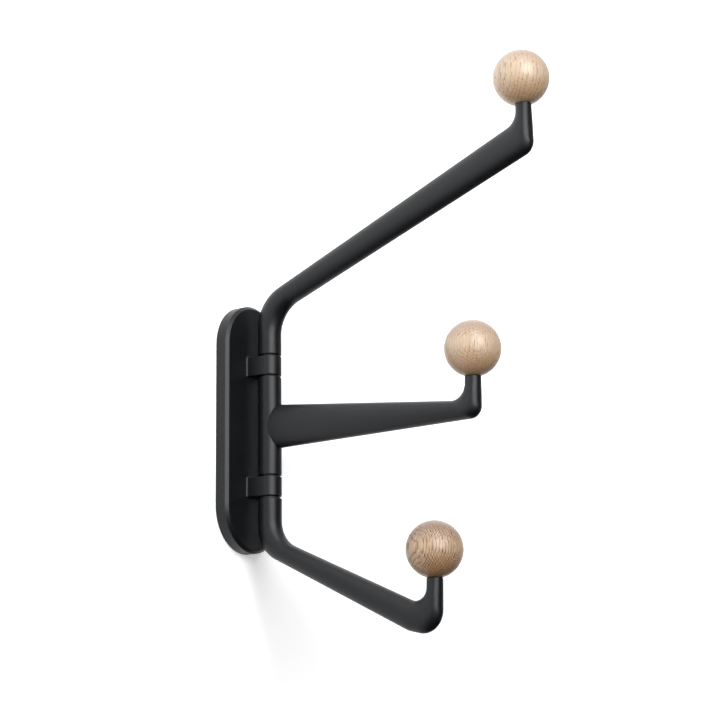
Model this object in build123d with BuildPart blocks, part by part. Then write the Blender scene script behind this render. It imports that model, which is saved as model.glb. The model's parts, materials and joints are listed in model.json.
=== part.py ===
from build123d import *
import os
from math import cos, radians, sin, tan

os.makedirs("parts", exist_ok=True)

# Wall coat hook with three swivelling arms, in millimetres.
# The wall is the plane y = 0 and the hook stands out of it towards -Y, with +Z up.
# The origin is the centre of the wall plate's back.

# Wall plate: a round-ended casting, hollow at the back
plate_width = 53.0
plate_height = 149.0
plate_depth = 8.4
plate_bevel = 1.7
plate_wall = 2.8
plate_skin = 3.0

# Pivot: three arms turn on one upright pin, which two collars on the plate hold
pivot_out = 19.55
tube_radius = 7.0
collar_height = 11.6
collar_middle = 36.2
lug_root_width = 15.8
lug_root_round = 1.2
rim_round = 0.5
pin_radius = 3.0
pin_grip = 17.0
pin_point = 0.8
running_clearance = 0.05

# Flanged bushes between the pin and the arms
bush_wall = 1.5
bush_length = 9.0
bush_flange = 0.9
bush_flange_radius = 5.5
middle_arm_play = 0.1
lower_arm_play = 0.3
blind_end_gap = 0.6

# Keeper screws, whose points run in grooves of the pin
keeper_radius = 1.5
keeper_sink = 0.4
keeper_socket_across = 1.5
keeper_socket_depth = 1.4
keeper_from_end = 4.0
groove_depth = 0.6
groove_gap = 0.25

# Wall bracket, hidden behind the plate, and the screw that locks the plate to it
bracket_thickness = 4.4
bracket_gap = 0.4
bracket_undercut = 1.6
bracket_hole_radius = 2.3
bracket_hole_spacing = 96.0
countersink_radius = 4.4
hook_lip = 0.9
hook_lip_drop = 12.0
lock_block_width = 13.0
lock_block_height = 7.0
lock_radius = 2.0
lock_out = 3.1
lock_sink = 1.0
lock_socket_across = 2.0
lock_socket_depth = 2.5

# Balls and what holds them
ball_radius = 16.0
ball_seat = 15.6
stem_radius = 4.6
stud_radius = 2.5
stud_in_stem = 9.0
stud_in_ball = 9.5
stud_point = 0.5
insert_radius = 3.6
insert_length = 11.0
insert_sink = 0.5

# Ball seats: how far out from the pivot and how high, and each stem's lean to the wall
upper_seat = (177.7, 163.0)
upper_lean = 3.0
middle_seat = (140.5, 12.2)
middle_lean = -1.0
lower_seat = (113.0, -97.4)
lower_lean = -0.5

# Arm outlines in the upright plane through the pivot: the height where two straight
# runs would meet, the radius that rounds them, and how far a stem's side stands out at its foot
upper_back_bend = 77.1
upper_back_radius = 24.6
upper_front_bend = 68.7
upper_front_radius = 20.2
upper_inner_corner = 153.3
upper_inner_radius = 9.5
upper_outer_corner = 135.0
upper_outer_radius = 8.1
upper_outer_flare = -0.6

blade_top = 13.1
blade_bottom = -13.9
blade_half_width = 6.4
middle_inner_corner = -1.1
middle_inner_radius = 8.6
middle_outer_corner = -11.5
middle_outer_radius = 6.7
middle_outer_flare = 0.3

lower_front_bend = -67.6
lower_front_radius = 18.1
lower_back_bend = -73.5
lower_back_radius = 21.1
lower_inner_corner = -113.1
lower_inner_radius = 7.5
lower_inner_flare = 0.4
heel_start = (95.5, -125.4)
heel_start_radius = 18.4
heel_corner = -130.5
heel_radius = 11.8
lower_outer_flare = -0.6

# Half widths across an arm, where its slant starts and where it ends
slant_half_width = 6.8
corner_half_width = 5.8
ovals_in_span = 5

# What follows from the sizes above
collar_top = collar_middle + collar_height / 2
collar_bottom = collar_middle - collar_height / 2
bush_bore = pin_radius + running_clearance
bush_radius = bush_bore + bush_wall
sleeve_top = collar_bottom - bush_flange - middle_arm_play
sleeve_bottom = -collar_bottom + bush_flange
upper_tube_end = collar_top + bush_flange
lower_tube_end = -collar_top - lower_arm_play - bush_flange
pin_end = collar_top + pin_grip
keeper_height = pin_end - keeper_from_end
blind_end = pin_end + blind_end_gap
groove_width = 2 * (keeper_radius + groove_gap)
keeper_point = pin_radius - groove_depth + groove_gap
keeper_length = tube_radius - keeper_sink - keeper_point
pocket_depth = plate_depth - plate_skin
pocket_height = plate_height - 2 * plate_wall
pocket_width = plate_width - 2 * plate_wall
block_bottom = -plate_height / 2 + plate_wall / 2
block_top = -plate_height / 2 + plate_wall + lock_block_height
bracket_bottom = block_top + bracket_gap
lock_start = -plate_height / 2 + lock_sink
beyond = 10.0

# In the arm plane, x runs out from the pivot and y runs up
arm_plane = Plane(origin=(0, -pivot_out, 0), x_dir=(0, -1, 0), z_dir=(-1, 0, 0))
wall_plane = Plane.XZ


def pivot_plane(height):
    """A level plane centred on the pivot."""
    return Plane(origin=(0, -pivot_out, height), x_dir=(1, 0, 0), z_dir=(0, 0, 1))


def seat_plane(seat, lean):
    """The plane where a ball sits on its stem, facing up along the stem."""
    up = (0, sin(radians(lean)), cos(radians(lean)))
    return Plane(origin=(0, -pivot_out - seat[0], seat[1]), x_dir=(1, 0, 0), z_dir=up)


def stem_side(seat, lean, side, corner_height, flare=0.0):
    """Foot and top of one side of a stem: side is -1 towards the wall, +1 away from it."""
    top_out = seat[0] + side * stem_radius * cos(radians(lean))
    top_height = seat[1] + side * stem_radius * sin(radians(lean))
    foot_out = top_out + (top_height - corner_height) * tan(radians(lean)) + side * flare
    return (foot_out, corner_height), (top_out, top_height)


def outline(corners, radii):
    """One side of an arm: straight runs and the arcs between them, in order."""
    with BuildLine(arm_plane) as side:
        FilletPolyline(*corners, radius=radii)
    return list(side.wires()[0].edges())


def along(edges, fraction):
    """The point at a fraction of the whole length of edges that follow each other."""
    distance = fraction * sum(edge.length for edge in edges)
    for edge in edges[:-1]:
        if distance <= edge.length:
            return edge @ (distance / edge.length)
        distance -= edge.length
    return edges[-1] @ min(distance / edges[-1].length, 1.0)


def spans(one_side, other_side, start_width, end_width, count):
    """Short spans of a stretch of an arm, each a row of ovals to loft through.

    The stretch lies between edges on the arm's two sides, and start_width and end_width
    are its half widths at the ends. A span that turns through less than a right angle
    lofts cleanly.
    """
    rows = []
    for span in range(count):
        sections = []
        for step in range(ovals_in_span + 1):
            fraction = (span + step / ovals_in_span) / count
            a = along(one_side, fraction)
            b = along(other_side, fraction)
            across = a - b
            half_depth = across.length / 2
            half_width = start_width + (end_width - start_width) * fraction
            plane = Plane(origin=(a + b) / 2, x_dir=across, z_dir=across.cross(Vector(1, 0, 0)))
            with BuildSketch(plane) as section:
                Ellipse(half_depth, min(half_width, half_depth))
            sections.append(section.sketch)
        rows.append(sections)
    return rows


def save(piece, label):
    piece.part.label = label
    export_step(piece.part, f"parts/{label}.step")


# Wall plate

with BuildPart() as wall_plate:
    with BuildSketch(wall_plane):
        SlotOverall(plate_height, plate_width, rotation=90)
    extrude(amount=plate_depth)
    chamfer(wall_plate.faces().sort_by(Axis.Y)[0].edges(), plate_bevel)

    # Hollow back, with a lip that hooks behind the bracket's top
    with BuildSketch(wall_plane):
        SlotOverall(pocket_height, pocket_width, rotation=90)
    extrude(amount=pocket_depth, mode=Mode.SUBTRACT)
    with BuildSketch(wall_plane):
        SlotOverall(pocket_height, pocket_width, rotation=90)
        SlotOverall(
            pocket_height - 2 * hook_lip, pocket_width - 2 * hook_lip, rotation=90, mode=Mode.SUBTRACT
        )
        with Locations((0, pocket_height / 2)):
            Rectangle(pocket_width, 2 * hook_lip_drop, mode=Mode.INTERSECT)
    extrude(amount=hook_lip)

    # Block at the foot that the lock screw is threaded through
    with BuildSketch(wall_plane):
        with Locations((0, (block_bottom + block_top) / 2)):
            Rectangle(lock_block_width, block_top - block_bottom)
    extrude(amount=pocket_depth)
    with BuildSketch(Plane.XY.offset(-plate_height / 2 - beyond)):
        with Locations((0, -lock_out)):
            Circle(lock_radius)
    extrude(amount=beyond + block_top + plate_height / 2, mode=Mode.SUBTRACT)

    # Two lugs, each a bridge to the plate that ends in a round collar
    for collar in (-collar_middle, collar_middle):
        with BuildSketch(pivot_plane(collar - collar_height / 2)):
            Circle(tube_radius)
            with Locations((0, pivot_out - plate_depth)):
                Rectangle(lug_root_width, plate_skin / 2, align=(Align.CENTER, Align.MIN))
            make_hull()
        lug = extrude(amount=collar_height)
        rims = lug.faces().filter_by(Axis.Z).edges()
        fillet(rims.filter_by(lambda rim: rim.center().Y < -plate_depth), rim_round)
    front = wall_plate.faces().filter_by(Axis.Y).filter_by_position(
        Axis.Y, -plate_depth - 0.01, -plate_depth + 0.01
    )[0]
    lug_roots = [edge for wire in front.inner_wires() for edge in wire.edges()]
    fillet(lug_roots, lug_root_round)
    with Locations(pivot_plane(0)):
        Hole(pin_radius)
save(wall_plate, "wall_plate")


# Wall bracket: its edge is undercut, so that the plate's lip goes behind it

with BuildPart() as wall_bracket:
    with BuildSketch(wall_plane):
        SlotOverall(pocket_height - 2 * bracket_gap, pocket_width - 2 * bracket_gap, rotation=90)
        with Locations((0, bracket_bottom)):
            Rectangle(pocket_width, pocket_height, align=(Align.CENTER, Align.MIN), mode=Mode.INTERSECT)
    extrude(amount=bracket_thickness)
    chamfer(wall_bracket.faces().sort_by(Axis.Y)[-1].edges(), bracket_undercut)
    with Locations(wall_plane.offset(bracket_thickness)):
        with GridLocations(0, bracket_hole_spacing, 1, 2):
            CounterSinkHole(bracket_hole_radius, countersink_radius)
save(wall_bracket, "wall_bracket")


# Screw that locks the plate on its bracket, driven from below

with BuildPart() as plate_lock_screw:
    with BuildSketch(Plane(origin=(0, -lock_out, lock_start))):
        Circle(lock_radius)
    extrude(amount=bracket_bottom - lock_start)
    with BuildSketch(Plane(origin=(0, -lock_out, lock_start))):
        RegularPolygon(lock_socket_across / 2, 6, major_radius=False)
    extrude(amount=lock_socket_depth, mode=Mode.SUBTRACT)
save(plate_lock_screw, "plate_lock_screw")


# Pivot pin, with a groove near each end for a keeper screw

with BuildPart() as pivot_pin:
    with BuildSketch(pivot_plane(-pin_end)):
        Circle(pin_radius)
    extrude(amount=2 * pin_end)
    chamfer(pivot_pin.edges().group_by(Axis.Z)[0] + pivot_pin.edges().group_by(Axis.Z)[-1], pin_point)
    for groove in (-keeper_height, keeper_height):
        with BuildSketch(pivot_plane(groove - groove_width / 2)):
            Circle(pin_radius)
            Circle(pin_radius - groove_depth, mode=Mode.SUBTRACT)
        extrude(amount=groove_width, mode=Mode.SUBTRACT)
save(pivot_pin, "pivot_pin")


# Upper arm

upper_back = outline(
    [(-tube_radius, upper_tube_end), (-tube_radius, upper_back_bend),
     *stem_side(upper_seat, upper_lean, -1, upper_inner_corner)],
    [upper_back_radius, upper_inner_radius],
)
upper_front = outline(
    [(tube_radius, upper_tube_end), (tube_radius, upper_front_bend),
     *stem_side(upper_seat, upper_lean, 1, upper_outer_corner, upper_outer_flare)],
    [upper_front_radius, upper_outer_radius],
)
upper_spans = (
    spans(upper_back[:2], upper_front[:2], tube_radius, slant_half_width, 2)
    + spans(upper_back[2:3], upper_front[2:3], slant_half_width, corner_half_width, 1)
    + spans(upper_back[3:], upper_front[3:], corner_half_width, stem_radius, 3)
)

with BuildPart() as upper_arm:
    for sections in upper_spans:
        loft(sections=sections)
    fillet(upper_arm.faces().filter_by(GeomType.PLANE).edges(), rim_round)
    with BuildSketch(pivot_plane(upper_tube_end)):
        Circle(bush_radius)
    extrude(amount=blind_end - upper_tube_end, mode=Mode.SUBTRACT)
    with BuildSketch(Plane(origin=(0, -pivot_out, keeper_height), z_dir=(0, 1, 0))):
        Circle(keeper_radius)
    extrude(amount=tube_radius + beyond, mode=Mode.SUBTRACT)
    with BuildSketch(seat_plane(upper_seat, upper_lean)):
        Circle(stud_radius)
    extrude(amount=-stud_in_stem, mode=Mode.SUBTRACT)
save(upper_arm, "upper_arm")


# Middle arm

middle_top = outline(
    [(0, blade_top), *stem_side(middle_seat, middle_lean, -1, middle_inner_corner)],
    [middle_inner_radius],
)
middle_under = outline(
    [(0, blade_bottom), *stem_side(middle_seat, middle_lean, 1, middle_outer_corner, middle_outer_flare)],
    [middle_outer_radius],
)
middle_spans = (
    spans(middle_top[:1], middle_under[:1], blade_half_width, corner_half_width, 1)
    + spans(middle_top[1:], middle_under[1:], corner_half_width, stem_radius, 3)
)

with BuildPart() as middle_arm:
    for sections in middle_spans:
        loft(sections=sections)
    with BuildSketch(pivot_plane(sleeve_bottom)):
        Circle(tube_radius)
    extrude(amount=sleeve_top - sleeve_bottom)
    fillet(middle_arm.faces().filter_by(GeomType.PLANE).edges(), rim_round)
    with Locations(pivot_plane(0)):
        Hole(bush_radius)
    with BuildSketch(seat_plane(middle_seat, middle_lean)):
        Circle(stud_radius)
    extrude(amount=-stud_in_stem, mode=Mode.SUBTRACT)
save(middle_arm, "middle_arm")


# Lower arm

lower_front = outline(
    [(tube_radius, lower_tube_end), (tube_radius, lower_front_bend),
     *stem_side(lower_seat, lower_lean, -1, lower_inner_corner, lower_inner_flare)],
    [lower_front_radius, lower_inner_radius],
)
lower_back = outline(
    [(-tube_radius, lower_tube_end), (-tube_radius, lower_back_bend), heel_start,
     *stem_side(lower_seat, lower_lean, 1, heel_corner, lower_outer_flare)],
    [lower_back_radius, heel_start_radius, heel_radius],
)
lower_spans = (
    spans(lower_front[:2], lower_back[:2], tube_radius, slant_half_width, 2)
    + spans(lower_front[2:3], lower_back[2:3], slant_half_width, corner_half_width, 1)
    + spans(lower_front[3:], lower_back[3:], corner_half_width, stem_radius, 4)
)

with BuildPart() as lower_arm:
    for sections in lower_spans:
        loft(sections=sections)
    fillet(lower_arm.faces().filter_by(GeomType.PLANE).edges(), rim_round)
    with BuildSketch(pivot_plane(-blind_end)):
        Circle(bush_radius)
    extrude(amount=lower_tube_end + blind_end, mode=Mode.SUBTRACT)
    with BuildSketch(Plane(origin=(0, -pivot_out, -keeper_height), z_dir=(0, 1, 0))):
        Circle(keeper_radius)
    extrude(amount=tube_radius + beyond, mode=Mode.SUBTRACT)
    with BuildSketch(seat_plane(lower_seat, lower_lean)):
        Circle(stud_radius)
    extrude(amount=-stud_in_stem, mode=Mode.SUBTRACT)
save(lower_arm, "lower_arm")


# Flanged bushes: the height of each flange's arm side, and which way its sleeve goes

for label, height, way in (
    ("upper_arm_bush", upper_tube_end, 1),
    ("middle_arm_top_bush", sleeve_top, -1),
    ("middle_arm_bottom_bush", sleeve_bottom, 1),
    ("lower_arm_bush", lower_tube_end, -1),
):
    with BuildPart() as bush:
        with BuildSketch(pivot_plane(height)):
            Circle(bush_radius)
        extrude(amount=way * bush_length)
        with BuildSketch(pivot_plane(height)):
            Circle(bush_flange_radius)
        extrude(amount=-way * bush_flange)
        with Locations(pivot_plane(height)):
            Hole(bush_bore)
    save(bush, label)


# Keeper screws, in from the side of the tube that faces the wall

for label, height in (("upper_arm_keeper", keeper_height), ("lower_arm_keeper", -keeper_height)):
    keeper_plane = Plane(origin=(0, -pivot_out + keeper_point, height), z_dir=(0, 1, 0))
    with BuildPart() as keeper:
        with BuildSketch(keeper_plane):
            Circle(keeper_radius)
        extrude(amount=keeper_length)
        with BuildSketch(keeper_plane.offset(keeper_length)):
            RegularPolygon(keeper_socket_across / 2, 6, major_radius=False)
        extrude(amount=-keeper_socket_depth, mode=Mode.SUBTRACT)
    save(keeper, label)


# Balls, each with the threaded insert and the stud that join it to its stem

for arm, seat, lean in (
    ("upper", upper_seat, upper_lean),
    ("middle", middle_seat, middle_lean),
    ("lower", lower_seat, lower_lean),
):
    seat_here = seat_plane(seat, lean)

    with BuildPart() as ball:
        with Locations(seat_here.offset(ball_seat)):
            Sphere(ball_radius)
        split(bisect_by=seat_here, keep=Keep.TOP)
        with BuildSketch(seat_here):
            Circle(insert_radius)
        extrude(amount=insert_sink + insert_length, mode=Mode.SUBTRACT)
    save(ball, f"{arm}_ball")

    with BuildPart() as insert:
        with BuildSketch(seat_here.offset(insert_sink)):
            Circle(insert_radius)
            Circle(stud_radius, mode=Mode.SUBTRACT)
        extrude(amount=insert_length)
    save(insert, f"{arm}_insert")

    with BuildPart() as stud:
        with BuildSketch(seat_here.offset(-stud_in_stem)):
            Circle(stud_radius)
        extrude(amount=stud_in_stem + stud_in_ball)
        chamfer(stud.edges(), stud_point)
    save(stud, f"{arm}_stud")
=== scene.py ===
# %% [markdown]
# # A wall coat hook with three swinging arms
#
# The hook is a tall round-ended wall plate with two lugs, and three arms that swing on one
# upright pin. All its castings wear the same charcoal powder coat, and each arm ends in a
# turned oak ball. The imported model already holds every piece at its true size, so this lesson
# is about finishes, light and the small threaded parts that hold the hook together.

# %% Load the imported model
import json
from math import cos, pi, radians, sin

import bpy
from mathutils import Euler, Matrix, Vector

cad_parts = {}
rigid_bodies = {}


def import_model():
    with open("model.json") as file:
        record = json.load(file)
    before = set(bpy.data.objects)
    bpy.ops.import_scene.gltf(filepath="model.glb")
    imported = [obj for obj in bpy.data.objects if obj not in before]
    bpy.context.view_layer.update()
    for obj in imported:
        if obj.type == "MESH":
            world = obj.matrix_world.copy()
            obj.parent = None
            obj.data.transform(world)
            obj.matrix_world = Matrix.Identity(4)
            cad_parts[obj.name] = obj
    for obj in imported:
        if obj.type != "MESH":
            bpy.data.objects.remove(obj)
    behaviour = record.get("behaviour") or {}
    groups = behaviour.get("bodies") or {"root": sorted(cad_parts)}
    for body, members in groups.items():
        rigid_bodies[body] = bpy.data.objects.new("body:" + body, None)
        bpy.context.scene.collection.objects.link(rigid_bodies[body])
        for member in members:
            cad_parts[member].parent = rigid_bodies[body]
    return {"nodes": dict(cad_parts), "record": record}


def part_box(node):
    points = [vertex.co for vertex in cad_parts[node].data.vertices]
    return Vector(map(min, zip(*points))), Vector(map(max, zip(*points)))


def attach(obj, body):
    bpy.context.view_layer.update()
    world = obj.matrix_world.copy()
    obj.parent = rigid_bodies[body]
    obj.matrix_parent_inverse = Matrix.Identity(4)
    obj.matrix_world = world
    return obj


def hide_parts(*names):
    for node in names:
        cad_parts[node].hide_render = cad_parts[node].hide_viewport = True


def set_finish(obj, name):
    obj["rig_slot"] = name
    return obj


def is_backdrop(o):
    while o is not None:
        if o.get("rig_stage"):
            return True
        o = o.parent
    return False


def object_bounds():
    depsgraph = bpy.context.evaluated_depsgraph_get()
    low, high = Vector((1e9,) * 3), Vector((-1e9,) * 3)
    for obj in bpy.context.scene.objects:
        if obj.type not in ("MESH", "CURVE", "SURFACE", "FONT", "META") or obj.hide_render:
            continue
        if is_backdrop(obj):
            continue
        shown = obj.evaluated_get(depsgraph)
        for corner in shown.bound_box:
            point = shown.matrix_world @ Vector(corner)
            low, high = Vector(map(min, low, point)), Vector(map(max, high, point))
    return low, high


MM = 0.001

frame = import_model()
cad_low, cad_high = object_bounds()
bpy.ops.object.select_all(action="DESELECT")
print("nodes in the frame:", len(frame["nodes"]))

# %% [markdown]
# ## Where the camera stands
#
# The picture was taken from the left of the hook and a little below it, looking up, and a
# long lens kept the plate's edges almost parallel. A camera could be aimed at a target object,
# but its compass heading, tilt and trace of roll say the same in numbers that are easy to set.

# %% Camera
camera_place = Vector((-885.5, -685.9, -207.7)) * MM
camera_heading = 55.825
camera_tilt = 12.598
camera_roll = -0.727
lens_mm = 95.0
sensor_mm = 36.0
nearest_seen = 0.01

bpy.ops.object.camera_add(location=camera_place)
camera = bpy.context.object
camera.name = "camera"
camera.rotation_mode = "XYZ"
aim = Euler((radians(90 + camera_tilt), 0, radians(-camera_heading))).to_matrix()
roll = Matrix.Rotation(radians(camera_roll), 3, "Z")
camera.rotation_euler = (aim @ roll).to_euler()
camera.data.lens = lens_mm
camera.data.sensor_width = sensor_mm
camera.data.clip_start = nearest_seen
bpy.context.scene.camera = camera
print("camera looks along", [round(x, 3) for x in (aim @ Vector((0, 0, -1)))])

# %% [markdown]
# ## Shader sums written as sums
#
# A material is a graph of nodes. Long graphs are hard to read, so a small class lets a sum be
# written as a sum: `1 - mask` adds the Math node that it needs. Every other node comes from
# one method, which takes the node's kind, its settings and what goes into its sockets.

# %% A signal
class Signal:
    """A value that flows through a graph of nodes."""

    def __init__(self, graph, socket):
        self.graph = graph
        self.socket = socket

    def __add__(self, other):
        return self.graph.math("ADD", self, other)

    __radd__ = __add__

    def __sub__(self, other):
        return self.graph.math("SUBTRACT", self, other)

    def __rsub__(self, other):
        return self.graph.math("SUBTRACT", other, self)

    def __mul__(self, other):
        return self.graph.math("MULTIPLY", self, other)

    __rmul__ = __mul__

    def __truediv__(self, other):
        return self.graph.math("DIVIDE", self, other)


# %% A graph of nodes
class Graph:
    """The nodes of one material, or of the room's light."""

    def __init__(self, tree):
        self.tree = tree

    def feed(self, socket, value):
        """Links a signal to the socket, or sets the socket to a plain number or colour."""
        if isinstance(value, Signal):
            self.tree.links.new(value.socket, socket)
        else:
            socket.default_value = value

    def node(self, kind, settings=None, sockets=None, output=0):
        made = self.tree.nodes.new("ShaderNode" + kind)
        for name, value in (settings or {}).items():
            setattr(made, name, value)
        for name, value in (sockets or {}).items():
            self.feed(made.inputs[name], value)
        return Signal(self, made.outputs[output])

    def math(self, operation, *values):
        return self.node("Math", {"operation": operation}, dict(enumerate(values)))

    def part(self, vector, letter):
        """The X, Y or Z of a vector."""
        return self.node("SeparateXYZ", None, {"Vector": vector}, output=letter)

    def length(self, vector):
        return self.node("VectorMath", {"operation": "LENGTH"}, {0: vector}, output="Value")

    def stretched(self, vector, scale):
        return self.node("Mapping", None, {"Vector": vector, "Scale": scale})

    def place(self, scale=(1, 1, 1), centre=(0, 0, 0), turn=(0, 0, 0)):
        """The point on the piece, from a centre, turned, and measured in the units asked for."""
        coordinates = self.node("TexCoord", output="Object")
        centred = self.node(
            "Mapping", {"vector_type": "TEXTURE"},
            {"Vector": coordinates, "Location": centre, "Rotation": turn},
        )
        return self.stretched(centred, scale)

    def noise(self, where, scale=1.0, detail=2.0, roughness=0.5):
        return self.node(
            "TexNoise", None,
            {"Vector": where, "Scale": scale, "Detail": detail, "Roughness": roughness},
        )

    def step(self, signal, low, high, to_low=0.0, to_high=1.0):
        """Runs smoothly from to_low to to_high while the signal goes from low to high."""
        limits = {"From Min": low, "From Max": high, "To Min": to_low, "To Max": to_high}
        smooth = {"interpolation_type": "SMOOTHSTEP"}
        return self.node("MapRange", smooth, {"Value": signal, **limits})

    def mix(self, mask, under, over):
        """A colour, under where the mask is 0 and over where it is 1."""
        colours = {"data_type": "RGBA", "clamp_factor": True}
        return self.node("Mix", colours, {0: mask, 6: under, 7: over}, output=2)

    def background(self):
        """Is 1 for a ray that looks for the background, straight or by way of gloss or glass."""
        rays = ("Is Camera Ray", "Is Glossy Ray", "Is Transmission Ray")
        return sum(self.node("LightPath", output=ray) for ray in rays)


# %% A finish, and colours as they are picked from a screen
class Finish(Graph):
    """One material, and the nodes that make its look."""

    def __init__(self, name):
        self.material = bpy.data.materials.new(name)
        self.material.use_nodes = True
        super().__init__(self.material.node_tree)
        self.shader = self.tree.nodes["Principled BSDF"]
        self.output = self.tree.nodes["Material Output"]

    def look(self, sockets):
        """Sets or feeds the shader's sockets."""
        for name, value in sockets.items():
            self.feed(self.shader.inputs[name], value)

    def bump(self, height, depth):
        """Makes the shader see the height signal as relief, depth metres deep."""
        relief = {"Height": height, "Distance": depth, "Strength": 1.0}
        self.look({"Normal": self.node("Bump", None, relief)})

    def done(self):
        print(f"{self.material.name}: {len(self.tree.nodes)} nodes")
        return self.material


def srgb(red, green, blue):
    """A colour as it is picked from a screen, 0 to 255, in the linear values of a shader."""
    def linear(byte):
        share = byte / 255
        return share / 12.92 if share <= 0.04045 else ((share + 0.055) / 1.055) ** 2.4

    return (linear(red), linear(green), linear(blue), 1.0)


PER_MM = (1000, 1000, 1000)
WHITE = (1.0, 1.0, 1.0, 1.0)

# %% [markdown]
# ## The wall
#
# The hook hangs on a plain white wall. It could be lit until it is white, but then the hook
# would be too light as well. So the wall glows for the camera, and only the rest of its
# brightness comes from the lamps: a shadow then stays faint and soft. It glows more above the
# hook's foot, where the arms mirror it, and far away it is simply white. Seen from behind, the
# wall has to vanish, so its back is clear.

# %% Wall
wall_size = 8.0
wall_gap = 0.0004
wall_paint = (0.93, 0.93, 0.93, 1.0)
wall_glow = 0.4
glow_above = 0.48
glow_rises = (-0.12, 0.2)
far_begins, far_is_white = 1.0, 2.2

upright = (pi / 2, 0, 0)
bpy.ops.mesh.primitive_plane_add(size=wall_size, location=(0, wall_gap, 0), rotation=upright)
bpy.ops.object.transform_apply()
wall = bpy.context.object
wall.name = "wall"
wall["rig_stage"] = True


def white_wall():
    finish = Finish("white wall")
    where = finish.place()
    height = finish.part(where, "Z")
    level = finish.step(height, *glow_rises, wall_glow, wall_glow + glow_above)
    distance = finish.step(finish.length(where), far_begins, far_is_white)
    far = finish.node("LightPath", output="Is Camera Ray") * distance
    strength = finish.background() * level + far
    glow = finish.node("Emission", None, {"Color": WHITE, "Strength": strength})
    paint = finish.node("BsdfDiffuse", None, {"Color": wall_paint})
    front = finish.node("AddShader", None, {0: paint, 1: glow})
    clear = finish.node("BsdfTransparent")
    from_behind = finish.node("NewGeometry", output="Backfacing")
    both = finish.node("MixShader", None, {"Fac": from_behind, 1: front, 2: clear})
    finish.feed(finish.output.inputs["Surface"], both)
    return finish.done()


wall.data.materials.append(white_wall())

# %% [markdown]
# ## Room light and lamps
#
# A product picture like this one is taken in an even, soft light. The room gives a level grey
# light from all round, and it shows as white behind the hook. A small lamp high on the left
# draws the highlights of the balls and the shadow under the plate, and a broad lamp beside the
# camera lights the faces that the picture shows. One lamp alone would leave half of each tube
# black. View Transform is set to Standard, so that a colour renders about as it is written.

# %% Room light
room_level = 0.36

world = bpy.data.worlds.new("room")
bpy.context.scene.world = world
world.use_nodes = True
room = Graph(world.node_tree)
backdrop = world.node_tree.nodes["Background"]
room.feed(backdrop.inputs["Color"], WHITE)
room.feed(backdrop.inputs["Strength"], room.math("MAXIMUM", room.background(), room_level))
bpy.context.scene.view_settings.view_transform = "Standard"
print("room light:", room_level)

# %% Lamps
lamp_distance = 3.0


def softbox(name, direction, width, height, watts):
    """A soft rectangular lamp that faces the hook from a direction."""
    way = Vector(direction).normalized()
    bpy.ops.object.light_add(type="AREA", location=way * lamp_distance)
    lamp = bpy.context.object
    lamp.name = name
    lamp.rotation_euler = way.to_track_quat("Z", "Y").to_euler()
    lamp.data.shape = "RECTANGLE"
    lamp.data.size = width
    lamp.data.size_y = height
    lamp.data.energy = watts
    lamp.visible_camera = False
    print(f"{name}: {width} by {height} m, {watts} W")


softbox("key_light", (-0.42, -0.48, 0.77), width=0.9, height=0.9, watts=18)
softbox("camera_side_light", (-0.53, -0.82, 0.3), width=2.4, height=1.7, watts=76)

# %% [markdown]
# ## A dark curtain and a dark table
#
# Gloss shows what stands around it, so a dark coat needs something dark to mirror. Without
# that, its shaded sides turn grey. A curtain goes round the right-hand front, and a table stands
# under the hook. Both are hidden from the camera itself. The curtain is a cylinder that loses
# its lid and its left side, and everything behind the wall. It fades to grey at its right end,
# next to the wall.

# %% Dark curtain
curtain_radius = 3.4
curtain_low = -1.05
curtain_high = 2.5
curtain_middle = Vector((0.75, -0.66))
curtain_half_angle = radians(50)
curtain_fades = (2.1, 2.9)
curtain_dark = (0.02, 0.02, 0.02, 1.0)
curtain_grey = (0.85, 0.85, 0.85, 1.0)


def dull(name, colour_of):
    """A finish with no gloss, in the colour that colour_of works out from the finish."""
    finish = Finish(name)
    finish.look({"Base Color": colour_of(finish), "Roughness": 1.0})
    return finish.done()


def curtain_colour(finish):
    to_the_right = finish.part(finish.place(), "X")
    return finish.mix(finish.step(to_the_right, *curtain_fades), curtain_dark, curtain_grey)


bpy.ops.mesh.primitive_cylinder_add(
    vertices=72, radius=curtain_radius, depth=curtain_high - curtain_low,
    location=(0, 0, (curtain_high + curtain_low) / 2),
)
bpy.ops.object.transform_apply()
curtain = bpy.context.object
curtain.name = "curtain"
bpy.ops.object.mode_set(mode="EDIT")
bpy.ops.mesh.select_all(action="DESELECT")
bpy.ops.object.mode_set(mode="OBJECT")
for face in curtain.data.polygons:
    lid, floor = face.normal.z > 0.5, face.normal.z < -0.5
    straight_ahead = face.center.to_2d().normalized().dot(curtain_middle)
    face.select = lid or (not floor and straight_ahead < cos(curtain_half_angle))
bpy.ops.object.mode_set(mode="EDIT")
bpy.ops.mesh.delete(type="FACE")
bpy.ops.mesh.select_all(action="SELECT")
bpy.ops.mesh.bisect(plane_co=(0, 0, 0), plane_no=(0, 1, 0), clear_outer=True)
bpy.ops.object.mode_set(mode="OBJECT")
curtain.visible_camera = False
curtain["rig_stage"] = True
curtain.data.materials.append(dull("dark curtain", curtain_colour))
print("curtain:", len(curtain.data.polygons), "faces")

# %% Dark table
table_drop = 0.4
table_size = 1.6
table_gap = 0.001

bpy.ops.object.select_all(action="DESELECT")
table_place = (0, -table_size / 2 - table_gap, -table_drop)
bpy.ops.mesh.primitive_plane_add(size=table_size, location=table_place)
bpy.ops.object.transform_apply()
table = bpy.context.object
table.name = "table"
table.visible_camera = False
table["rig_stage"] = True
table.data.materials.append(dull("dark table", lambda finish: curtain_dark))
print("table:", table_drop, "m under the hook's middle")

# %% [markdown]
# ## Charcoal powder coat
#
# Powder coat is plastic melted on to the metal. It is smooth and even, dull rather than
# mirror-like, with a very fine skin like orange peel. The colour hardly varies, so the life
# of the finish is in its relief and in a roughness that wanders a little.

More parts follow.
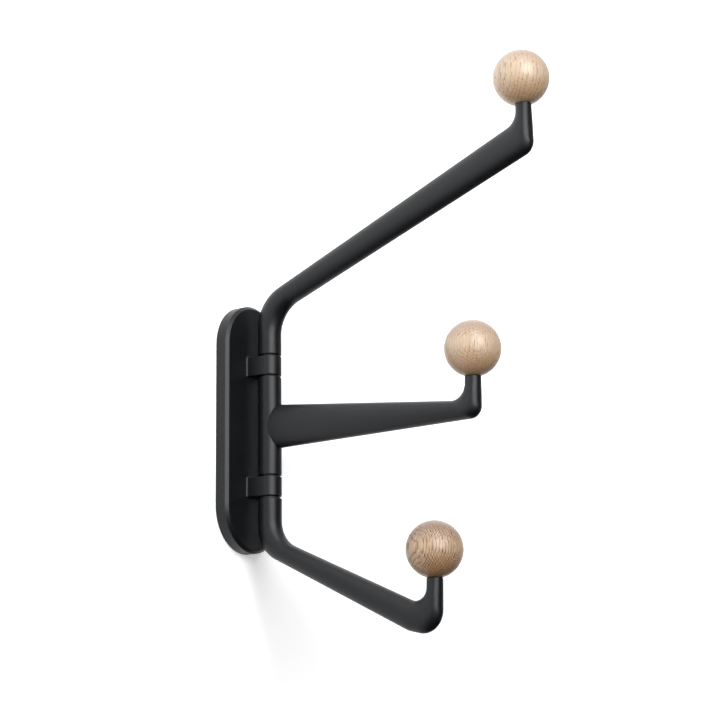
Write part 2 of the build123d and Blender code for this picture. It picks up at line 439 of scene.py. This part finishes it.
# %% Powder coat
coat_colour = srgb(12, 14, 18)
coat_dark = srgb(9, 11, 14)
coat_relief = 0.00003


def powder_coat():
    finish = Finish("charcoal powder coat")
    where = finish.place(PER_MM)
    cloud = finish.noise(where, scale=0.05, detail=3.0)
    grain = finish.noise(where, scale=3.2, roughness=0.6)
    peel = finish.noise(where, scale=0.8, detail=1.0)
    finish.look({
        "Base Color": finish.mix(cloud, coat_dark, coat_colour),
        "Roughness": 0.35 + 0.05 * cloud + 0.04 * grain,
        "Specular IOR Level": 0.37,
        "Specular Tint": (0.97, 0.98, 1.0, 1.0),
    })
    finish.bump(0.75 * grain + peel, coat_relief)
    return finish.done()


coat = powder_coat()

# %% [markdown]
# ## The grain of oak
#
# A wood pattern is solid: it runs through the ball as the rings ran through the tree. A flat
# picture wrapped on the ball would look like paper, so the rings are measured as distances
# from a line, the heart of the tree, which lies outside the ball. Each ring begins with a
# band of spring wood. It is full of open pores, cut as dashes on the sides of a ball and as
# dots at its top and bottom. Rays run out from the heart and cross the rings, which gives the
# fine cross-hatching of oak. All sizes here are in millimetres.

# %% Rings, rays and pores
ray_spacing = 1.4


def oak_grain(finish, trunk, heart_distance, ring_width):
    """The signals of the wood at a point of the trunk."""
    def along_grain(across, along):
        """The point, as a pattern sees it that changes so often in a millimetre, each way."""
        return finish.stretched(trunk, (across, across, along))

    sway = finish.noise(along_grain(0.09, 0.012))
    ragged = finish.noise(along_grain(1.4, 0.16))
    broken = finish.noise(along_grain(0.8, 0.25))
    fibre = finish.noise(along_grain(2.0, 0.09), detail=3.0, roughness=0.65)
    cloud = finish.noise(along_grain(0.12, 0.03))

    # One ring runs from 0 to 1, and the spring wood is its first part.
    flat = finish.node("VectorMath", {"operation": "MULTIPLY"}, {0: trunk, 1: (1, 1, 0)})
    ring_place = finish.length(flat) / ring_width
    ring = finish.math("FRACT", ring_place + sway * 3.2 + ragged * 0.32 + broken * 0.7)
    spring = finish.step(ring, 0.4, 0.05) * finish.step(ring, 0.0, 0.06)

    # Rays stand side by side round the heart, and sway and break with the rings.
    angle = finish.math("ARCTAN2", finish.part(trunk, "Y"), finish.part(trunk, "X"))
    ray_place = angle * (heart_distance / ray_spacing)
    ray = finish.math("FRACT", ray_place + sway * 3.0 + ragged * 0.5)
    rays = finish.step(ray, 0.5, 0.2) * finish.step(ray, 0.0, 0.1)

    # A pore is the middle of a long Voronoi cell. The wide ones keep to the spring wood.
    wide = finish.node("TexVoronoi", None, {"Vector": along_grain(1.05, 0.13), "Scale": 1.0})
    fine = finish.node("TexVoronoi", None, {"Vector": along_grain(1.7, 0.25), "Scale": 1.0})
    wide_pores = finish.step(wide, 0.36, 0.18) * finish.step(ring, 0.6, 0.2)
    fine_pores = finish.step(fine, 0.3, 0.12) * 0.5 * finish.step(broken, 0.35, 0.6)

    return {
        "spring": spring * finish.step(broken, 0.2, 0.6),
        "rays": rays * finish.step(broken, 0.25, 0.5),
        "pores": wide_pores + fine_pores,
        "fibre": fibre,
        "cloud": cloud,
    }


# %% [markdown]
# ## Three oak balls
#
# Each ball was cut from its own piece of wood, so each has its own heart line, ring width and
# colours. Pale wood comes first, and fibres, spring wood, rays and pores are laid over it in
# turn. The top of a ball gets a painted cool light, a little duller and cooler, and its foot a
# painted warm shade. A thin lacquer gives the soft highlight, and it breaks off over the open
# pores.

# %% Oak
ball_radius = 16.0
trunk_lean = (radians(2), radians(3), 0)
# The next two tints are painted light: a cool, darker light on the top of a ball and a warm shade
# at its foot.
painted_cool_light_tint = (0.52, 0.54, 0.64)
painted_warm_shade_tint = (1.0, 0.78, 0.55)
pore_tint = (0.5, 0.36, 0.26)
oak_relief = 0.00001


def tinted(colour, tint):
    return (*(part * share for part, share in zip(colour, tint)), 1.0)


def oak(node, heart_direction, heart_distance, ring_width, pale, line, strength, ray_strength, cut):
    """The oak of one ball. The cut moves the pattern along the trunk, in tenths of a metre."""
    finish = Finish("oak of the " + node.replace("_", " "))
    low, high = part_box(node)
    centre = Vector(((low.x + high.x) / 2, (low.y + high.y) / 2, high.z - ball_radius * MM))
    heart = centre + Vector((*heart_direction, 0)).normalized() * heart_distance * MM
    trunk = finish.place(PER_MM, heart + Vector((0, 0, cut * 0.1)), trunk_lean)
    grain = oak_grain(finish, trunk, heart_distance, ring_width)
    up = finish.part(finish.place((1 / (ball_radius * MM),) * 3, centre), "Z")
    # Painted light: the top of the ball is tinted with a painted cool light, and its foot with a
    # painted warm shade.
    painted_cool_light, foot = finish.step(up, 0.0, 0.8) * 0.8, finish.step(up, 0.0, -0.9) * 0.8
    off_the_middle = finish.step(finish.math("ABSOLUTE", up), 0.05, 0.45)

    wood = finish.mix(painted_cool_light, pale, tinted(pale, painted_cool_light_tint))
    wood = finish.mix(foot, wood, tinted(pale, painted_warm_shade_tint))
    wood = finish.mix(finish.step(grain["fibre"], 0.35, 0.68) * 0.45, wood, line)
    wood = finish.mix(grain["spring"] * strength + grain["cloud"] * 0.12, wood, line)
    wood = finish.mix(grain["rays"] * off_the_middle * ray_strength, wood, line)
    wood = finish.mix(grain["pores"] * strength, wood, tinted(line, pore_tint))
    finish.look({
        "Base Color": wood,
        "Roughness": 0.4 + 0.1 * grain["fibre"] + 0.2 * grain["pores"],
        "Specular IOR Level": 0.5,
        "Coat Weight": 0.7 - 0.7 * grain["pores"],
        "Coat Roughness": 0.34,
    })
    finish.bump(grain["fibre"] - grain["pores"], oak_relief)
    return finish.done()


upper_oak = oak(
    "upper_ball", heart_direction=(0.62, -0.78), heart_distance=70, ring_width=2.2,
    pale=srgb(226, 203, 177), line=srgb(172, 137, 104), strength=0.6, ray_strength=0.2, cut=1,
)
middle_oak = oak(
    "middle_ball", heart_direction=(0.4, -0.916), heart_distance=45, ring_width=1.6,
    pale=srgb(221, 197, 171), line=srgb(168, 132, 98), strength=0.45, ray_strength=0.7, cut=2,
)
lower_oak = oak(
    "lower_ball", heart_direction=(0.755, -0.656), heart_distance=40, ring_width=1.4,
    pale=srgb(216, 186, 154), line=srgb(108, 70, 42), strength=0.85, ray_strength=0.8, cut=3,
)

# %% [markdown]
# ## Metals and plastic
#
# The pin, the studs and the grub screws are turned steel, the bracket behind the plate is zinc
# plated, the inserts in the balls are brass, and the bushes between the moving parts are black
# plastic. One grey metal could do for all of them, but each real one keeps a trace of how it
# was made: fine rings from the lathe, the soft bloom of the plating, or a grain from the mould.

# %% Turned steel and zinc plating
fine_relief = 0.00001


def turned_steel():
    finish = Finish("turned steel")
    rings = finish.noise(finish.stretched(finish.place(PER_MM), (0.3, 0.3, 6)))
    finish.look({
        "Base Color": finish.mix(rings, srgb(150, 150, 152), srgb(186, 186, 188)),
        "Metallic": 1.0,
        "Roughness": 0.28 + 0.14 * rings,
    })
    finish.bump(rings, fine_relief)
    return finish.done()


def zinc_plate():
    finish = Finish("zinc plated steel")
    where = finish.place(PER_MM)
    cells = {"Vector": where, "Scale": 0.25}
    flakes = finish.node("TexVoronoi", {"feature": "SMOOTH_F1"}, cells)
    cloud = finish.noise(where, scale=0.12, detail=3.0)
    tone = 0.7 * cloud + 0.3 * flakes
    finish.look({
        "Base Color": finish.mix(tone, srgb(168, 171, 176), srgb(196, 199, 204)),
        "Metallic": 1.0,
        "Roughness": 0.34 + 0.14 * cloud,
    })
    return finish.done()


steel, zinc = turned_steel(), zinc_plate()


# %% Brass and plastic
def turned_brass():
    finish = Finish("turned brass")
    cloud = finish.noise(finish.place(PER_MM), scale=0.9)
    finish.look({
        "Base Color": finish.mix(cloud, srgb(190, 158, 96), srgb(214, 184, 120)),
        "Metallic": 1.0,
        "Roughness": 0.24 + 0.12 * cloud,
    })
    return finish.done()


def black_plastic():
    finish = Finish("black moulded plastic")
    grain = finish.noise(finish.place(PER_MM), scale=4.0)
    finish.look({
        "Base Color": finish.mix(grain, srgb(16, 16, 17), srgb(26, 26, 27)),
        "Roughness": 0.5 + 0.12 * grain,
    })
    finish.bump(grain, fine_relief)
    return finish.done()


brass, plastic = turned_brass(), black_plastic()

# %% [markdown]
# ## Real threads
#
# The studs, inserts and grub screws came from the CAD with smooth sides. A thread is a V that
# climbs round a rod, so a V of three vertices is turned by the Screw modifier, one pitch for
# each turn. The long spring that this gives is cut flat at both ends, and a Boolean with a
# chamfered cylinder gives it the lead-in that every bought screw has. These small pieces are
# modelled with a millimetre as the unit, because some tools weld points that are less than a
# tenth of a millimetre apart, and they shrink to their true size at the end.

# %% Helpers for cutting
def make_active(piece):
    """Selects the piece alone."""
    bpy.ops.object.select_all(action="DESELECT")
    bpy.context.view_layer.objects.active = piece
    piece.select_set(True)


def apply_boolean(piece, operation, tool):
    """Cuts the piece with the tool, and then throws the tool away."""
    cut = piece.modifiers.new("cut", "BOOLEAN")
    cut.operation = operation
    cut.solver = "EXACT"
    cut.object = tool
    make_active(piece)
    bpy.ops.object.modifier_apply(modifier=cut.name)
    bpy.data.objects.remove(tool, do_unlink=True)


def edit_nothing_selected(mode):
    """Leaves the active piece in object mode, with nothing selected for the next edit."""
    bpy.ops.object.mode_set(mode="EDIT")
    bpy.ops.mesh.select_mode(type=mode)
    bpy.ops.mesh.select_all(action="DESELECT")
    bpy.ops.object.mode_set(mode="OBJECT")


# %% The plain rod that a thread is cut on
round_steps = 48
level_enough = 1e-6


def chamfered_blank(radius, length, chamfer):
    """A cylinder with both ends chamfered, upright from the origin."""
    bpy.ops.mesh.primitive_cylinder_add(
        vertices=round_steps, radius=radius, depth=length, location=(0, 0, length / 2),
    )
    bpy.ops.object.transform_apply()
    blank = bpy.context.object
    edit_nothing_selected("EDGE")
    for edge in blank.data.edges:
        start, end = (blank.data.vertices[corner].co for corner in edge.vertices)
        edge.select = abs(start.z - end.z) < level_enough
    bpy.ops.object.mode_set(mode="EDIT")
    bpy.ops.mesh.bevel(offset=chamfer, offset_type="OFFSET", segments=1)
    bpy.ops.object.mode_set(mode="OBJECT")
    return blank


# %% A threaded rod
turn_steps = 24
thread_depth_share = 0.61
spare_length = 0.2
spare_turns = 4
blank_oversize = 1.001


def thread_profile(name, core, depth, pitch):
    """A V of three vertices that points outwards, one pitch high, at the start of the thread."""
    bpy.ops.object.select_all(action="DESELECT")
    bpy.ops.mesh.primitive_circle_add(
        vertices=4, radius=1, fill_type="NOTHING", location=(core, 0, -pitch),
        rotation=(pi / 2, 0, 0),
    )
    profile = bpy.context.object
    profile.name = name
    profile.scale = (depth, pitch / 2, 1)
    bpy.ops.object.transform_apply()
    edit_nothing_selected("VERT")
    for vertex in profile.data.vertices:
        vertex.select = vertex.co.x < core - depth / 2
    bpy.ops.object.mode_set(mode="EDIT")
    bpy.ops.mesh.delete(type="VERT")
    bpy.ops.object.mode_set(mode="OBJECT")
    return profile


def threaded_rod(name, radius, pitch, length, chamfer):
    """A rod with an outside thread, upright from the origin."""
    depth = thread_depth_share * pitch
    weld = pitch / 1000
    rod = thread_profile(name, radius - depth, depth, pitch)
    thread = rod.modifiers.new("thread", "SCREW")
    thread.axis = "Z"
    thread.screw_offset = pitch
    thread.iterations = int(length / pitch) + spare_turns
    thread.steps = thread.render_steps = turn_steps
    thread.use_merge_vertices = True
    thread.merge_threshold = weld
    bpy.ops.object.modifier_apply(modifier=thread.name)

    bpy.ops.object.mode_set(mode="EDIT")
    bpy.ops.mesh.select_all(action="SELECT")
    bpy.ops.mesh.remove_doubles(threshold=weld)
    for end, way in ((-spare_length, -1), (length + spare_length, 1)):
        bpy.ops.mesh.select_all(action="SELECT")
        bpy.ops.mesh.bisect(
            plane_co=(0, 0, end), plane_no=(0, 0, way), use_fill=True, clear_outer=True,
        )
    bpy.ops.mesh.select_all(action="SELECT")
    bpy.ops.mesh.normals_make_consistent(inside=False)
    bpy.ops.object.mode_set(mode="OBJECT")
    blank = chamfered_blank(radius * blank_oversize, length, chamfer)
    apply_boolean(rod, "INTERSECT", blank)
    return rod


# %% Setting a small piece in its place
smooth_below = radians(35)


def settle(piece, place, lean, node, body, slot):
    """Leans the upright piece over about X, moves its foot to its place, hides the CAD node, and
    puts the piece in its body and slot.
    """
    make_active(piece)
    piece.scale = (MM, MM, MM)
    piece.rotation_euler = (lean, 0, 0)
    piece.location = place
    bpy.ops.object.transform_apply()
    bpy.ops.object.shade_smooth_by_angle(angle=smooth_below)
    piece.data.materials.clear()
    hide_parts(node)
    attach(piece, body)
    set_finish(piece, slot)
    # Corner 0 of a bounding box is its lowest one, and corner 6 its highest.
    low, high = (piece.matrix_world @ Vector(piece.bound_box[corner]) for corner in (0, 6))
    cad_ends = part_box(node)
    ends = ((low, cad_ends[0]), (high, cad_ends[1]))
    off = max(abs(mine[axis] - theirs[axis]) for mine, theirs in ends for axis in range(3))
    faces = len(piece.data.polygons)
    print(f"{piece.name}: {faces} faces, box within {off / MM:.2f} mm of the CAD's")


# %% [markdown]
# ## Grub screws
#
# A grub screw has no head, only a hexagon socket in one end, so that it can sink below the
# surface. One locks the plate on its bracket from below. Two more sit in the tubes of the
# upper and the lower arm, on the wall side, and their tips keep those arms on the pin. The
# socket is cut with a six-sided cylinder, which keeps its corners sharp, as a punched one has.

# %% Grub screws
lock_screw_foot = (0, -3.1, -73.5)
pivot_out = 19.55
keeper_height = 55
keeper_tip_out = 2.65
keeper_length = 3.95
socket_chamfer_share = 0.7


def grub_screw(name, radius, pitch, length, socket_across, socket_depth):
    """A headless screw, upright from the origin, with its hexagon socket at the foot."""
    screw = threaded_rod(name, radius, pitch, length, socket_chamfer_share * pitch)
    bpy.ops.mesh.primitive_cylinder_add(
        vertices=6, radius=socket_across / 2 / cos(radians(30)), depth=2 * socket_depth,
    )
    apply_boolean(screw, "DIFFERENCE", bpy.context.object)
    return screw


lock_screw = grub_screw(
    "threaded_plate_lock_screw", radius=2.0, pitch=0.7, length=9.2,
    socket_across=2.0, socket_depth=2.5,
)
settle(lock_screw, Vector(lock_screw_foot) * MM, 0, "plate_lock_screw", "wall", "steel")
for arm, height in (("upper", keeper_height), ("lower", -keeper_height)):
    keeper = grub_screw(
        f"threaded_{arm}_keeper", radius=1.5, pitch=0.5, length=keeper_length,
        socket_across=1.5, socket_depth=1.4,
    )
    foot = Vector((0, -pivot_out + keeper_tip_out + keeper_length, height)) * MM
    settle(keeper, foot, radians(90), f"{arm}_arm_keeper", f"{arm}_swing_arm", "steel")

# %% [markdown]
# ## Studs and inserts
#
# A steel stud joins each ball to its stem, and it screws into a brass insert in the wood. The
# insert has a coarse thread that bites the oak, a bore for the stud and a slot across its end
# for a driver. Both lean with their stem. Wood alone would not hold a fine thread for long,
# which is why the insert is there. The bore and the slot are cut last, through the whole
# chamfered rod, so that their edges stay clean.

# %% Studs and inserts
seats = {"upper": (177.7, 163.0, 3.0), "middle": (140.5, 12.2, -1.0), "lower": (113.0, -97.4, -0.5)}
stud_radius = 2.5
stud_pitch = 0.8
stud_in_stem = 9.0
stud_in_ball = 9.5
insert_radius = 3.6
insert_pitch = 1.6
insert_length = 11.0
insert_sunk = 0.5
lead_in = 0.6
driver_slot = (1.2, 4 * insert_radius, 3)


def threaded_insert(name):
    insert = threaded_rod(name, insert_radius, insert_pitch, insert_length, lead_in)
    bpy.ops.mesh.primitive_cylinder_add(
        vertices=round_steps, radius=stud_radius, depth=4 * insert_length,
    )
    apply_boolean(insert, "DIFFERENCE", bpy.context.object)
    bpy.ops.mesh.primitive_cube_add(size=1)
    slot_cutter = bpy.context.object
    slot_cutter.scale = driver_slot
    bpy.ops.object.transform_apply()
    apply_boolean(insert, "DIFFERENCE", slot_cutter)
    return insert


for arm, (out, height, lean) in seats.items():
    seat = Vector((0, -pivot_out - out, height)) * MM
    up = Vector((0, sin(radians(lean)), cos(radians(lean))))
    body = f"{arm}_swing_arm"
    stud_length = stud_in_stem + stud_in_ball
    stud = threaded_rod(f"threaded_{arm}_stud", stud_radius, stud_pitch, stud_length, lead_in)
    stud_foot = seat - up * stud_in_stem * MM
    settle(stud, stud_foot, -radians(lean), f"{arm}_stud", body, "steel")
    insert = threaded_insert(f"threaded_{arm}_insert")
    insert_foot = seat + up * insert_sunk * MM
    settle(insert, insert_foot, -radians(lean), f"{arm}_insert", body, "brass")

# %% [markdown]
# ## Dressing the pieces
#
# The record names a material slot for every piece, and most pieces take the finish of their
# slot. The balls share one slot, but each has its own oak, so they are named one by one.
# The new threaded pieces carry their slot's name, and are dressed from it in the same way.

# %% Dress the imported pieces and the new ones
slot_finish = {
    "charcoal_coat": coat,
    "steel": steel,
    "zinc_plated_steel": zinc,
    "brass": brass,
    "dark_plastic": plastic,
}
node_finish = {"upper_ball": upper_oak, "middle_ball": middle_oak, "lower_ball": lower_oak}
for part in frame["record"]["subparts"]:
    name = part["node"]
    node_finish.setdefault(name, slot_finish.get(part["material_slot"]))
    dressed = bpy.data.objects[name]
    dressed.data.materials.clear()
    dressed.data.materials.append(node_finish[name])
new_pieces = [piece for piece in bpy.data.objects if "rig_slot" in piece]
for piece in new_pieces:
    piece.data.materials.append(slot_finish[piece["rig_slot"]])
print("dressed", len(node_finish), "packed pieces and", len(new_pieces), "new ones")

# %% [markdown]
# ## Sizes
#
# A model can grow by accident while it is dressed. So the box round the finished pieces is
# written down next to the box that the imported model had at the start, and the two are compared.

# %% Sizes, and the end
low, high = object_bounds()
growth = (high - low) - (cad_high - cad_low)
print("box grew by", [round(side / MM, 2) for side in growth], "mm")
